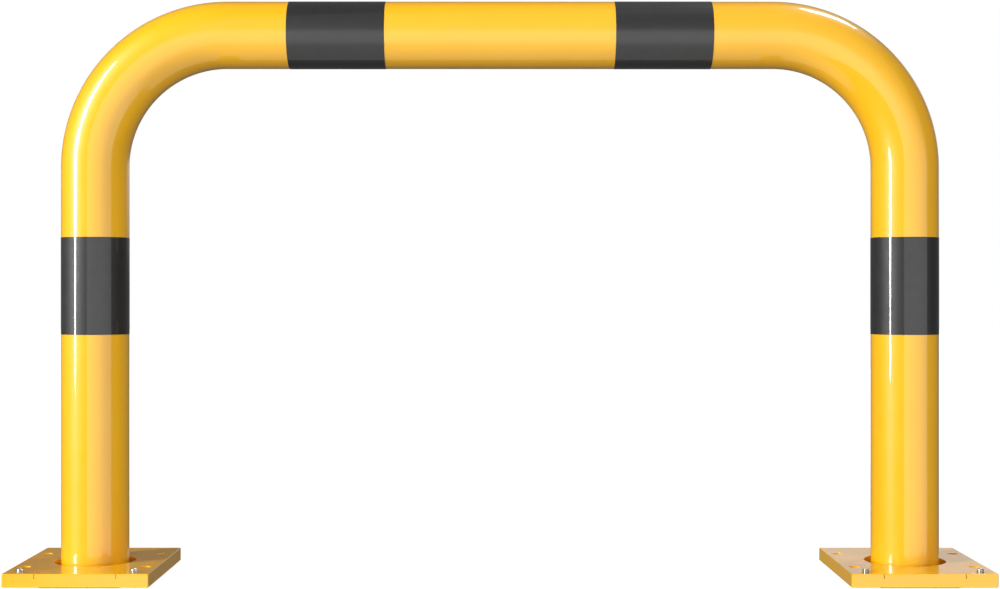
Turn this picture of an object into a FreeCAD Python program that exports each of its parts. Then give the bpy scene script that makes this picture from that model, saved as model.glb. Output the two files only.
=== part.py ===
import FreeCAD, Part
import math
import os
import Sketcher

# A bent steel guard hoop on two sprung feet.
# Origin: on the floor, midway between the feet. +X along the bar, +Y from front to back, +Z up.
# Everything is in millimetres.

# Driving dimensions: alias in the sheet, value, meaning. A size that follows from others is a formula.
SIZES = [
    ("overall_width", 1000.0, "over the outsides of the two legs"),
    ("overall_height", 656.0, "floor to the top of the bar"),
    ("tube_diameter", 76.1, "outside diameter of the hoop's tube"),
    ("tube_wall", 3.0, "wall of the tube"),
    ("bend_radius", 150.0, "centreline radius of both bends"),
    ("band_width", 110.0, "width of each hazard band"),
    ("band_film", 0.25, "thickness of the band film"),
    ("bar_band_inset", 126.95, "end of the bar's straight run to the middle of a bar band"),
    ("bar_band_middle", "=(overall_width - tube_diameter) / 2 - bend_radius - bar_band_inset",
     "middle of the hoop to the middle of a bar band"),
    ("leg_band_inset", 135.95, "top of a leg's straight run to the middle of its band"),
    ("leg_band_middle", "=overall_height - tube_diameter / 2 - bend_radius - leg_band_inset",
     "floor to the middle of a leg band"),
    ("plate_width", 160.0, "base plate across the hoop's length"),
    ("plate_depth", 190.0, "base plate from front to back"),
    ("plate_thickness", 15.0, "base plate"),
    ("plate_corner", 1.5, "upright corner radius of the base plate"),
    ("plate_edge", 0.8, "rounding of the base plate's outer edges"),
    ("leg_gap", 7.45, "gap all round between the leg and the base plate's hole"),
    ("anchor_hole", 12.0, "floor anchor hole in the base plate"),
    ("anchor_side", 13.0, "side of the base plate to an anchor hole"),
    ("anchor_across", "=plate_width / 2 - anchor_side", "leg axis to an anchor hole, across"),
    ("anchor_along", 47.0, "leg axis to an anchor hole, front to back"),
    ("mark_across", 44.5, "leg axis to an index mark in the front face"),
    ("mark_width", 1.0, "index mark"),
    ("mark_height", 5.5, "index mark, down from the top face"),
    ("mark_cut", 2.0, "index mark, into the front face"),
    ("pad_rim", 3.95, "seat pad past the outside of the tube, all round"),
    ("pad_diameter", "=tube_diameter + 2 * pad_rim", "seat pad"),
    ("keeper_rim", 3.0, "keeper plate past the seat pad, each side"),
    ("keeper_width", "=pad_diameter + 2 * keeper_rim", "keeper plate across"),
    ("keeper_depth", 152.0, "keeper plate from front to back"),
    ("keeper_thickness", 8.0, "keeper plate"),
    ("keeper_corner", 4.0, "corner radius of the keeper plate"),
    ("keeper_recess", 4.0, "how far the keeper plate is let into the base plate"),
    ("keeper_gap", 0.25, "gap all round the keeper plate in its recess"),
    ("keeper_screw", 8.0, "thread of the keeper screws"),
    ("keeper_screw_head", 16.0, "head of the keeper screws"),
    ("keeper_screw_side", 12.0, "side of the keeper plate to a keeper screw"),
    ("keeper_screw_across", "=keeper_width / 2 - keeper_screw_side", "leg axis to a keeper screw, across"),
    ("keeper_screw_end", 11.0, "end of the keeper plate to a keeper screw"),
    ("keeper_screw_along", "=keeper_depth / 2 - keeper_screw_end",
     "leg axis to a keeper screw, front to back"),
    ("keeper_hole_spare", 1.0, "depth of a keeper screw's tapped hole past its tip"),
    ("keeper_hole_cover", 1.7, "base plate left above a keeper screw's tapped hole"),
    ("levelling_screw", 8.0, "thread of the levelling screws"),
    ("levelling_side", 17.5, "side of the base plate to a levelling screw"),
    ("levelling_across", "=plate_width / 2 - levelling_side", "leg axis to a levelling screw, across"),
    ("levelling_inset", 10.0, "front face to a levelling screw"),
    ("levelling_proud", 4.0, "levelling screw above the base plate"),
    ("levelling_below", 1.0, "levelling screw below the base plate"),
    ("screw_rim", 0.4, "straight rim of a countersunk head"),
    ("screw_tip", 1.0, "bevel at the tip of every screw"),
    ("thread_gap", 0.1, "play all round a thread in its tapped hole"),
    ("shank_gap", 0.5, "play all round a screw in a plain hole"),
    ("head_sink", 0.3, "depth of a countersunk head below its face"),
    ("keeper_screw_length",
     "=keeper_thickness - keeper_recess + plate_thickness - keeper_hole_cover - keeper_hole_spare"
     " - head_sink",
     "whole length of a keeper screw"),
    ("tie_bolt", 16.0, "thread of the tie bolt"),
    ("tie_bolt_lean", 4.0, "room all round the tie bolt to lean in the end disc"),
    ("tie_bolt_play", 5.0, "room all round the tie bolt in the seat pad"),
    ("pad_bore", "=tie_bolt + 2 * tie_bolt_play", "seat pad"),
    ("pad_thickness", 6.0, "seat pad"),
    ("disc_thickness", 8.0, "end disc"),
    ("disc_gap", 0.3, "gap all round the end disc in the tube"),
    ("disc_bore", "=tie_bolt + 2 * tie_bolt_lean", "end disc"),
    ("disc_bevel", 4.5, "bevel of the end disc that clears the ring weld"),
    ("disc_screw", 5.0, "thread of the end disc screws"),
    ("disc_screw_head", 10.0, "head of the end disc screws"),
    ("disc_screw_length", 16.0, "whole length of an end disc screw"),
    ("ring_gap", 0.05, "gap all round the seat ring in the tube"),
    ("ring_wall", 12.0, "wall of the seat ring"),
    ("ring_bore", "=tube_diameter - 2 * tube_wall - 2 * ring_gap - 2 * ring_wall", "seat ring"),
    ("ring_height", 12.0, "seat ring"),
    ("disc_screw_inset", 4.0, "bore of the seat ring to the pitch circle of the end disc screws"),
    ("disc_screw_circle", "=ring_bore + 2 * disc_screw_inset", "pitch circle of the end disc screws"),
    ("weld_leg", 4.0, "leg length of the ring weld"),
    ("spring_gap", 1.0, "gap all round the spring block in the seat ring"),
    ("spring_diameter", "=ring_bore - 2 * spring_gap", "spring block"),
    ("spring_height", 44.0, "spring block, preloaded"),
    ("spring_rounding", 3.0, "rounded rims of the spring block"),
    ("nut_plate_diameter", "=spring_diameter", "nut plate, as wide as the spring block under it"),
    ("nut_plate_thickness", 6.0, "nut plate"),
    ("tie_bolt_head", 30.0, "head of the tie bolt"),
    ("tie_bolt_spare", 5.0, "tie bolt past its nut"),
    ("tie_nut_flats", 24.0, "tie nut across flats"),
    ("tie_nut_height", 13.0, "tie nut"),
]

# Places that follow from the sizes above, as formulas for the sheet.
LEG_X = "(Sizes.overall_width - Sizes.tube_diameter) / 2"
BAR_Z = "(Sizes.overall_height - Sizes.tube_diameter / 2)"
TUBE_BORE = "(Sizes.tube_diameter - 2 * Sizes.tube_wall)"
PLATE_BOTTOM = "(Sizes.keeper_thickness - Sizes.keeper_recess)"
PLATE_TOP = "(%s + Sizes.plate_thickness)" % PLATE_BOTTOM
PLATE_FRONT = "(-Sizes.plate_depth / 2)"
LEG_END = "(Sizes.keeper_thickness + Sizes.pad_thickness)"
RING_BOTTOM = "(%s + Sizes.disc_thickness)" % LEG_END
SPRING_TOP = "(%s + Sizes.spring_height)" % RING_BOTTOM
NUT_PLATE_TOP = "(%s + Sizes.nut_plate_thickness)" % SPRING_TOP
TIE_NUT_TOP = "(%s + Sizes.tie_nut_height)" % NUT_PLATE_TOP

FEET = [("left", -1), ("right", 1)]
CORNERS = [(-1, -1), (1, -1), (1, 1), (-1, 1)]
DISC_SCREW_ANGLES = [45, 135, 225, 315]
# A hexagon's corners, turned so that none of them lies on an axis of its sketch.
HEXAGON_ANGLES = [15, 75, 135, 195, 255, 315]

doc = FreeCAD.newDocument("GuardHoop")
sheet = doc.addObject("Spreadsheet::Sheet", "Sizes")
for row, (alias, amount, meaning) in enumerate(SIZES, 1):
    sheet.set("A%d" % row, meaning)
    sheet.set("B%d" % row, str(amount))
    sheet.setAlias("B%d" % row, alias)
doc.recompute()

nodes = []


def value(formula):
    """What a formula comes to now, in millimetres."""
    return float(sheet.evalExpression(formula))


def new_body(label):
    body = doc.addObject("PartDesign::Body", label)
    body.Label = label
    return body


def keep(piece, across="0", raised="0"):
    """Stand a finished piece on its place and list it as a node."""
    piece.setExpression("Placement.Base.x", across)
    piece.setExpression("Placement.Base.z", raised)
    nodes.append(piece)
    return piece


# ---- sketches ----

def new_sketch(body, name, role="XY_Plane", raised="0"):
    """A sketch on one of the body's own origin planes, moved along the plane's normal."""
    sketch = body.newObject("Sketcher::SketchObject", body.Name + "_" + name)
    plane = next(feature for feature in body.Origin.OriginFeatures if feature.Role == role)
    sketch.AttachmentSupport = (plane, [""])
    sketch.MapMode = "FlatFace"
    sketch.setExpression("AttachmentOffset.Base.z", raised)
    return sketch


def bind(sketch, kind, where, formula):
    number = sketch.addConstraint(Sketcher.Constraint(kind, *where, value(formula)))
    sketch.setExpression("Constraints[%d]" % number, formula)


def hold_point(sketch, line, end, across, along):
    """Tie one point of a sketch to its distance from the origin, each way."""
    for kind, axis, formula in (("DistanceX", -2, across), ("DistanceY", -1, along)):
        amount = value(formula)
        if amount > 0:
            bind(sketch, kind, (-1, 1, line, end), formula)
        elif amount < 0:
            bind(sketch, kind, (line, end, -1, 1), "-(%s)" % formula)
        else:
            sketch.addConstraint(Sketcher.Constraint("PointOnObject", line, end, axis))


def draw_circle(sketch, diameter, across="0", along="0"):
    centre = FreeCAD.Vector(value(across), value(along), 0)
    circle = sketch.addGeometry(Part.Circle(centre, FreeCAD.Vector(0, 0, 1), value(diameter) / 2))
    bind(sketch, "Diameter", (circle,), diameter)
    hold_point(sketch, circle, 3, across, along)


def draw_outline(sketch, points):
    """A closed outline of straight lines through points, each given as two formulas."""
    places = [FreeCAD.Vector(value(across), value(along), 0) for across, along in points]
    lines = [
        sketch.addGeometry(Part.LineSegment(start, end))
        for start, end in zip(places, places[1:] + places[:1])
    ]
    for line, following, (across, along) in zip(lines, lines[1:] + lines[:1], points):
        sketch.addConstraint(Sketcher.Constraint("Coincident", line, 2, following, 1))
        hold_point(sketch, line, 1, across, along)


def draw_rectangle(sketch, width, depth, across="0", along="0"):
    sides = ["%s + %d * (%s) / 2" % (across, sign, width) for sign in (-1, 1)]
    ends = ["%s + %d * (%s) / 2" % (along, sign, depth) for sign in (-1, 1)]
    corners = [(0, 0), (1, 0), (1, 1), (0, 1)]
    draw_outline(sketch, [(sides[side], ends[end]) for side, end in corners])


def draw_hexagon(sketch, flats):
    corner = "%s / 2 / cos(30)" % flats
    draw_outline(sketch, [
        ("%s * cos(%d)" % (corner, angle), "%s * sin(%d)" % (corner, angle))
        for angle in HEXAGON_ANGLES
    ])


# ---- features ----

def pad(body, sketch, length):
    feature = body.newObject("PartDesign::Pad", sketch.Name + "_pad")
    feature.Profile = sketch
    feature.setExpression("Length", length)
    doc.recompute()
    return feature


def turn(body, sketch):
    """A solid of revolution about the sketch's upright axis."""
    feature = body.newObject("PartDesign::Revolution", sketch.Name + "_turned")
    feature.Profile = sketch
    feature.ReferenceAxis = (sketch, ["V_Axis"])
    feature.Angle = 360
    doc.recompute()
    return feature


def pocket(body, sketch, depth, upwards=False):
    """A cut from the sketch into the solid, and a check that it took something away."""
    before = body.Shape.Volume
    feature = body.newObject("PartDesign::Pocket", sketch.Name + "_cut")
    feature.Profile = sketch
    feature.Reversed = upwards
    feature.setExpression("Length", depth)
    doc.recompute()
    if body.Shape.Volume > before - 1:
        raise RuntimeError(feature.Label + " cuts nothing")
    return feature


def dress(body, kind, edges, size):
    """A chamfer or a fillet on the named edges of the body's last feature."""
    base = body.Tip
    feature = body.newObject("PartDesign::" + kind, body.Name + "_" + kind.lower())
    feature.Base = (base, edges)
    feature.setExpression("Radius" if kind == "Fillet" else "Size", size)
    doc.recompute()
    return feature


def edges_where(body, test):
    return ["Edge%d" % number for number, edge in enumerate(body.Tip.Shape.Edges, 1) if test(edge)]


def upright_edges(body, width, depth):
    """The upright edges at the four corners of a rectangle about the body's axis."""
    corner = FreeCAD.Vector(value(width) / 2, value(depth) / 2)

    def stands_there(edge):
        middle = edge.CenterOfMass
        upright = edge.BoundBox.XLength < 0.01 and edge.BoundBox.YLength < 0.01
        return upright and abs(abs(middle.x) - corner.x) < 0.01 and abs(abs(middle.y) - corner.y) < 0.01

    return edges_where(body, stands_there)


def level_edges(body, *heights):
    """The edges that lie flat at any of these heights."""

    def lies_there(edge):
        box = edge.BoundBox
        return box.ZLength < 0.01 and any(abs(box.ZMin - height) < 0.01 for height in heights)

    return edges_where(body, lies_there)


def hole_edges(body, diameter, height):
    """The circles of this diameter that lie flat at this height."""

    def is_rim(edge):
        circle = edge.Curve
        if not isinstance(circle, Part.Circle):
            return False
        return abs(circle.Radius - value(diameter) / 2) < 0.01 and abs(circle.Center.z - height) < 0.01

    return edges_where(body, is_rim)


# ---- fasteners ----

# A screw's hexagon socket is a standard share of its thread: flats and depth.
HEAD_SOCKET = (0.62, 0.35)
SET_SCREW_SOCKET = (0.5, 0.6)


def countersunk_screw(label, thread, head, length):
    """One countersunk screw, head down, from its head's flat face up to its tip."""
    body = new_body(label)
    outline = new_sketch(body, "profile", "XZ_Plane")
    draw_outline(outline, [
        ("0", "0"),
        (head + " / 2", "0"),
        (head + " / 2", "Sizes.screw_rim"),
        (thread + " / 2", "Sizes.screw_rim + (%s - %s) / 2" % (head, thread)),
        (thread + " / 2", length + " - Sizes.screw_tip"),
        (thread + " / 2 - Sizes.screw_tip", length),
        ("0", length),
    ])
    turn(body, outline)
    flats, depth = HEAD_SOCKET
    socket = new_sketch(body, "socket")
    draw_hexagon(socket, "%s * %g" % (thread, flats))
    pocket(body, socket, "%s * %g" % (thread, depth), upwards=True)
    return body


def set_screw(label, thread, low, high):
    """One headless screw with a flat point at its low end and a hexagon socket at its high end."""
    body = new_body(label)
    outline = new_sketch(body, "profile", "XZ_Plane")
    draw_outline(outline, [
        ("0", low),
        (thread + " / 2 - Sizes.screw_tip", low),
        (thread + " / 2", low + " + Sizes.screw_tip"),
        (thread + " / 2", high + " - Sizes.screw_tip"),
        (thread + " / 2 - Sizes.screw_tip", high),
        ("0", high),
    ])
    turn(body, outline)
    flats, depth = SET_SCREW_SOCKET
    socket = new_sketch(body, "socket", raised=high)
    draw_hexagon(socket, "%s * %g" % (thread, flats))
    pocket(body, socket, "%s * %g" % (thread, depth))
    return body


def group(label, screw, places):
    """The same screw at several places, as one node of separate solids."""
    copies = []
    for number, (across, along) in enumerate(places, 1):
        copy = doc.addObject("App::Link", "%s_%d" % (label, number))
        copy.LinkedObject = screw
        copy.setExpression("Placement.Base.x", across)
        copy.setExpression("Placement.Base.y", along)
        copies.append(copy)
    compound = doc.addObject("Part::Compound", label)
    compound.Label = label
    compound.Links = copies
    return compound


# ---- the hoop ----

def ring_profile(body, outer, inner, role="XY_Plane", raised="0", across="0", along="0"):
    sketch = new_sketch(body, "ring", role, raised)
    draw_circle(sketch, outer, across, along)
    draw_circle(sketch, inner, across, along)
    return sketch


def make_hoop_tube():
    """One tube, swept up the left leg, over the bar and down the right leg."""
    body = new_body("hoop_tube")
    path = new_sketch(body, "path", "XZ_Plane")
    bend_foot = BAR_Z + " - Sizes.bend_radius"
    bar_end = LEG_X + " - Sizes.bend_radius"
    runs = [
        (("-" + LEG_X, LEG_END), ("-" + LEG_X, bend_foot)),
        (("-(%s)" % bar_end, BAR_Z), (bar_end, BAR_Z)),
        ((LEG_X, bend_foot), (LEG_X, LEG_END)),
    ]
    lines = []
    for ends in runs:
        points = [FreeCAD.Vector(value(across), value(up), 0) for across, up in ends]
        line = path.addGeometry(Part.LineSegment(*points))
        for end, (across, up) in enumerate(ends, 1):
            hold_point(path, line, end, across, up)
        lines.append(line)
    for side, before, after in ((-1, lines[0], lines[1]), (1, lines[1], lines[2])):
        centre = FreeCAD.Vector(side * value(bar_end), value(bend_foot), 0)
        circle = Part.Circle(centre, FreeCAD.Vector(0, 0, 1), value("Sizes.bend_radius"))
        start = math.pi / 2 if side < 0 else 0
        bend = path.addGeometry(Part.ArcOfCircle(circle, start, start + math.pi / 2))
        path.addConstraint(Sketcher.Constraint("Coincident", bend, 2, before, 2))
        path.addConstraint(Sketcher.Constraint("Coincident", bend, 1, after, 1))
        bind(path, "Radius", (bend,), "Sizes.bend_radius")
    profile = ring_profile(body, "Sizes.tube_diameter", TUBE_BORE, raised=LEG_END, across="-" + LEG_X)
    doc.recompute()
    sweep = body.newObject("PartDesign::AdditivePipe", "hoop_tube_sweep")
    sweep.Profile = profile
    sweep.Spine = (path, ["Edge%d" % number for number in range(1, 6)])
    doc.recompute()
    return keep(body)


def make_bands():
    """Thin black film round the tube: two bands on the bar, one on each leg."""
    outer = "Sizes.tube_diameter + 2 * Sizes.band_film"
    for side, sign in FEET:
        bar_band = new_body(side + "_bar_band")
        start = "%d * Sizes.bar_band_middle - Sizes.band_width / 2" % sign
        section = ring_profile(bar_band, outer, "Sizes.tube_diameter", "YZ_Plane", start, along=BAR_Z)
        pad(bar_band, section, "Sizes.band_width")
        keep(bar_band)
        leg_band = new_body(side + "_leg_band")
        section = ring_profile(leg_band, outer, "Sizes.tube_diameter")
        pad(leg_band, section, "Sizes.band_width")
        keep(leg_band, "%d * %s" % (sign, LEG_X), "Sizes.leg_band_middle - Sizes.band_width / 2")


# ---- one foot: every piece is drawn about the leg's axis ----

def make_base_plate(side, leg_x):
    body = new_body(side + "_base_plate")
    outline = new_sketch(body, "outline")
    draw_rectangle(outline, "Sizes.plate_width", "Sizes.plate_depth")
    pad(body, outline, "Sizes.plate_thickness")
    dress(body, "Fillet", upright_edges(body, "Sizes.plate_width", "Sizes.plate_depth"), "Sizes.plate_corner")
    dress(body, "Fillet", level_edges(body, 0, value("Sizes.plate_thickness")), "Sizes.plate_edge")

    recess_width = "Sizes.keeper_width + 2 * Sizes.keeper_gap"
    recess_depth = "Sizes.keeper_depth + 2 * Sizes.keeper_gap"
    recess = new_sketch(body, "recess")
    draw_rectangle(recess, recess_width, recess_depth)
    pocket(body, recess, "Sizes.keeper_recess", upwards=True)
    corners = upright_edges(body, recess_width, recess_depth)
    dress(body, "Fillet", corners, "Sizes.keeper_corner + Sizes.keeper_gap")

    through = new_sketch(body, "holes")
    draw_circle(through, "Sizes.tube_diameter + 2 * Sizes.leg_gap")
    for across, along in CORNERS:
        draw_circle(
            through,
            "Sizes.anchor_hole",
            "%d * Sizes.anchor_across" % across,
            "%d * Sizes.anchor_along" % along,
        )
    for across in (-1, 1):
        draw_circle(
            through,
            "Sizes.levelling_screw + 2 * Sizes.thread_gap",
            "%d * Sizes.levelling_across" % across,
            PLATE_FRONT + " + Sizes.levelling_inset",
        )
    pocket(body, through, "Sizes.plate_thickness", upwards=True)

    tapped = new_sketch(body, "tapped_holes", raised="Sizes.keeper_recess")
    for across, along in CORNERS:
        draw_circle(
            tapped,
            "Sizes.keeper_screw + 2 * Sizes.thread_gap",
            "%d * Sizes.keeper_screw_across" % across,
            "%d * Sizes.keeper_screw_along" % along,
        )
    reach = "Sizes.head_sink + Sizes.keeper_screw_length - Sizes.keeper_thickness"
    pocket(body, tapped, reach + " + Sizes.keeper_hole_spare", upwards=True)

    marks = new_sketch(body, "marks", raised="Sizes.plate_thickness")
    for across in (-1, 1):
        draw_rectangle(
            marks,
            "Sizes.mark_width",
            "2 * Sizes.mark_cut",
            "%d * Sizes.mark_across" % across,
            PLATE_FRONT,
        )
    pocket(body, marks, "Sizes.mark_height")
    return keep(body, leg_x, PLATE_BOTTOM)


def make_keeper_plate(side, leg_x):
    body = new_body(side + "_keeper_plate")
    outline = new_sketch(body, "outline")
    draw_rectangle(outline, "Sizes.keeper_width", "Sizes.keeper_depth")
    pad(body, outline, "Sizes.keeper_thickness")
    corners = upright_edges(body, "Sizes.keeper_width", "Sizes.keeper_depth")
    dress(body, "Fillet", corners, "Sizes.keeper_corner")

    screw_hole = "(Sizes.keeper_screw + 2 * Sizes.shank_gap)"
    bolt_hole = "(Sizes.tie_bolt + 2 * Sizes.shank_gap)"
    holes = new_sketch(body, "holes")
    draw_circle(holes, bolt_hole)
    for across, along in CORNERS:
        draw_circle(
            holes,
            screw_hole,
            "%d * Sizes.keeper_screw_across" % across,
            "%d * Sizes.keeper_screw_along" % along,
        )
    pocket(body, holes, "Sizes.keeper_thickness", upwards=True)
    countersinks = [
        (screw_hole, "Sizes.keeper_screw_head"),
        (bolt_hole, "Sizes.tie_bolt_head"),
    ]
    for hole, head in countersinks:
        size = "(%s - %s) / 2 + Sizes.head_sink + Sizes.shank_gap" % (head, hole)
        dress(body, "Chamfer", hole_edges(body, hole, 0), size)
    return keep(body, leg_x)


def make_seat_pad(side, leg_x):
    """The polyurethane ring that the leg stands on."""
    body = new_body(side + "_seat_pad")
    pad(body, ring_profile(body, "Sizes.pad_diameter", "Sizes.pad_bore"), "Sizes.pad_thickness")
    return keep(body, leg_x, "Sizes.keeper_thickness")


def disc_screw_places():
    return [
        (
            "Sizes.disc_screw_circle / 2 * cos(%d)" % angle,
            "Sizes.disc_screw_circle / 2 * sin(%d)" % angle,
        )
        for angle in DISC_SCREW_ANGLES
    ]


def make_end_disc(side, leg_x):
    """The disc that closes the leg, bevelled at the top to clear the ring weld."""
    body = new_body(side + "_end_disc")
    diameter = TUBE_BORE + " - 2 * Sizes.disc_gap"
    pad(body, ring_profile(body, diameter, "Sizes.disc_bore"), "Sizes.disc_thickness")
    dress(body, "Chamfer", hole_edges(body, diameter, value("Sizes.disc_thickness")), "Sizes.disc_bevel")
    hole = "(Sizes.disc_screw + 2 * Sizes.shank_gap)"
    holes = new_sketch(body, "screw_holes")
    for across, along in disc_screw_places():
        draw_circle(holes, hole, across, along)
    pocket(body, holes, "Sizes.disc_thickness", upwards=True)
    size = "(Sizes.disc_screw_head - %s) / 2 + Sizes.head_sink + Sizes.shank_gap" % hole
    dress(body, "Chamfer", hole_edges(body, hole, 0), size)
    return keep(body, leg_x, LEG_END)


def make_seat_ring(side, leg_x):
    """The tapped ring inside the end of the leg."""
    body = new_body(side + "_seat_ring")
    outer = TUBE_BORE + " - 2 * Sizes.ring_gap"
    pad(body, ring_profile(body, outer, "Sizes.ring_bore"), "Sizes.ring_height")
    holes = new_sketch(body, "tapped_holes")
    for across, along in disc_screw_places():
        draw_circle(holes, "Sizes.disc_screw + 2 * Sizes.thread_gap", across, along)
    pocket(body, holes, "Sizes.ring_height", upwards=True)
    return keep(body, leg_x, RING_BOTTOM)


def make_ring_weld(side, leg_x):
    """A fillet weld in the corner under the seat ring."""
    body = new_body(side + "_ring_weld")
    section = new_sketch(body, "section", "XZ_Plane")
    wall = TUBE_BORE + " / 2"
    draw_outline(section, [
        (wall, "0"),
        (wall + " - Sizes.weld_leg", "0"),
        (wall, "-Sizes.weld_leg"),
    ])
    turn(body, section)
    return keep(body, leg_x, RING_BOTTOM)


def make_spring_block(side, leg_x):
    """The preloaded polyurethane block round the tie bolt."""
    body = new_body(side + "_spring_block")
    bore = "Sizes.tie_bolt + 2 * Sizes.shank_gap"
    pad(body, ring_profile(body, "Sizes.spring_diameter", bore), "Sizes.spring_height")
    rims = hole_edges(body, "Sizes.spring_diameter", 0)
    rims += hole_edges(body, "Sizes.spring_diameter", value("Sizes.spring_height"))
    dress(body, "Fillet", rims, "Sizes.spring_rounding")
    return keep(body, leg_x, RING_BOTTOM)


def make_nut_plate(side, leg_x):
    body = new_body(side + "_nut_plate")
    bore = "Sizes.tie_bolt + 2 * Sizes.thread_gap"
    pad(body, ring_profile(body, "Sizes.nut_plate_diameter", bore), "Sizes.nut_plate_thickness")
    return keep(body, leg_x, SPRING_TOP)


def make_tie_nut(side, leg_x):
    """A hexagon nut with both faces turned down at the corners."""
    body = new_body(side + "_tie_nut")
    flats = new_sketch(body, "flats")
    draw_hexagon(flats, "Sizes.tie_nut_flats")
    draw_circle(flats, "Sizes.tie_bolt + 2 * Sizes.thread_gap")
    pad(body, flats, "Sizes.tie_nut_height")
    before = body.Shape.Volume
    corner = new_sketch(body, "corner", "XZ_Plane")
    start = "Sizes.tie_nut_flats / 2"
    outside = "Sizes.tie_nut_flats * 0.65"
    fall = "(Sizes.tie_nut_flats * 0.15 * tan(30))"
    draw_outline(corner, [(start, "0"), (outside, "0"), (outside, fall)])
    top = "Sizes.tie_nut_height"
    draw_outline(corner, [(start, top), (outside, top), (outside, "%s - %s" % (top, fall))])
    groove = body.newObject("PartDesign::Groove", body.Name + "_chamfers")
    groove.Profile = corner
    groove.ReferenceAxis = (corner, ["V_Axis"])
    groove.Angle = 360
    doc.recompute()
    if body.Shape.Volume > before - 1:
        raise RuntimeError(groove.Label + " cuts nothing")
    return keep(body, leg_x, NUT_PLATE_TOP)


def make_tie_bolt(side, leg_x):
    length = TIE_NUT_TOP + " + Sizes.tie_bolt_spare - Sizes.head_sink"
    body = countersunk_screw(side + "_tie_bolt", "Sizes.tie_bolt", "Sizes.tie_bolt_head", length)
    return keep(body, leg_x, "Sizes.head_sink")


def make_foot(side, sign, screws):
    leg_x = "%d * %s" % (sign, LEG_X)
    make_base_plate(side, leg_x)
    make_keeper_plate(side, leg_x)
    make_seat_pad(side, leg_x)
    make_end_disc(side, leg_x)
    make_seat_ring(side, leg_x)
    make_ring_weld(side, leg_x)
    make_spring_block(side, leg_x)
    make_nut_plate(side, leg_x)
    make_tie_nut(side, leg_x)
    make_tie_bolt(side, leg_x)
    keeper_places = [
        ("%d * Sizes.keeper_screw_across" % across, "%d * Sizes.keeper_screw_along" % along)
        for across, along in CORNERS
    ]
    levelling_places = [
        ("%d * Sizes.levelling_across" % across, PLATE_FRONT + " + Sizes.levelling_inset")
        for across in (-1, 1)
    ]
    keep(group(side + "_keeper_screws", screws["keeper"], keeper_places), leg_x, "Sizes.head_sink")
    keep(group(side + "_levelling_screws", screws["levelling"], levelling_places), leg_x)
    keep(
        group(side + "_disc_screws", screws["disc"], disc_screw_places()),
        leg_x,
        LEG_END + " + Sizes.head_sink",
    )


make_hoop_tube()
make_bands()
screws = {
    "keeper": countersunk_screw(
        "keeper_screw_master", "Sizes.keeper_screw", "Sizes.keeper_screw_head", "Sizes.keeper_screw_length"
    ),
    "disc": countersunk_screw(
        "disc_screw_master", "Sizes.disc_screw", "Sizes.disc_screw_head", "Sizes.disc_screw_length"
    ),
    "levelling": set_screw(
        "levelling_screw_master", "Sizes.levelling_screw",
        PLATE_BOTTOM + " - Sizes.levelling_below", PLATE_TOP + " + Sizes.levelling_proud"
    ),
}
for side, sign in FEET:
    make_foot(side, sign, screws)
doc.recompute()

# Every object has to be sound before anything is written.
for item in doc.Objects:
    if "Invalid" in item.State or "Error" in item.State:
        raise RuntimeError("%s failed: %s" % (item.Label, item.State))
for piece in nodes:
    if piece.Shape.isNull() or not piece.Shape.isValid() or not piece.Shape.Solids:
        raise RuntimeError(piece.Label + " has no sound solid")

os.makedirs("parts", exist_ok=True)
for piece in nodes:
    piece.Shape.exportStep("parts/%s.step" % piece.Label)
    box = piece.Shape.BoundBox
    print("%-24s %2d solid(s) %12.1f mm3  x %8.2f %8.2f  y %8.2f %8.2f  z %7.2f %7.2f" % (
        piece.Label, len(piece.Shape.Solids), piece.Shape.Volume,
        box.XMin, box.XMax, box.YMin, box.YMax, box.ZMin, box.ZMax,
    ))
print(len(nodes), "nodes")
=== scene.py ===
import math
import bmesh
import bpy
import numpy as np
from mathutils import Matrix, Vector


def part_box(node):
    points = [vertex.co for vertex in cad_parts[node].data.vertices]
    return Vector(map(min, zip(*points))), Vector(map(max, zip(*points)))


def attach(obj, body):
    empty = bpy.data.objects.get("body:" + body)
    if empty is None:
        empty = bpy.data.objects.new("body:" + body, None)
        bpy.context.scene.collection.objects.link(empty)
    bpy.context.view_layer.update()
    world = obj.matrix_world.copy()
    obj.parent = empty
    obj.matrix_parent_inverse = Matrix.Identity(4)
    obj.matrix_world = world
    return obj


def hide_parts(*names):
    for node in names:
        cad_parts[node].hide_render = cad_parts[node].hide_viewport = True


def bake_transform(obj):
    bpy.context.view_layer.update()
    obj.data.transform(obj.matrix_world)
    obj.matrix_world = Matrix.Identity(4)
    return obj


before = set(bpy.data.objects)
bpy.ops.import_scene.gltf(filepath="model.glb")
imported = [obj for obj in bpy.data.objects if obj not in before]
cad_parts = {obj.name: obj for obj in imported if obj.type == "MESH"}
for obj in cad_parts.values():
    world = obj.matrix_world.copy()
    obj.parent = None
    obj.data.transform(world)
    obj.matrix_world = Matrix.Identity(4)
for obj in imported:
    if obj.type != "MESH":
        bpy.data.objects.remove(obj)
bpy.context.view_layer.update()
mm = 0.001

# Settings are in millimetres beside the piece they shape; places come from the frame.


def middleOf(node):
    # half way between the corners of a node's box, in millimetres
    low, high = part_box(node)
    return (low + high) / 2 / mm


def bottomOf(node):
    # the height of a node's lowest point, in millimetres
    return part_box(node)[0].z / mm


def topOf(node):
    # the height of a node's highest point, in millimetres
    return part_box(node)[1].z / mm


def linear(colour):
    # an sRGB hex value as linear light: the low end is straight, the rest is a power of 2.4
    steps = np.array([int(colour[i:i + 2], 16) for i in (1, 3, 5)]) / 255
    light = np.where(steps > 0.04045, ((steps + 0.055) / 1.055) ** 2.4, steps / 12.92)
    return (*light.tolist(), 1.0)


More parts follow.
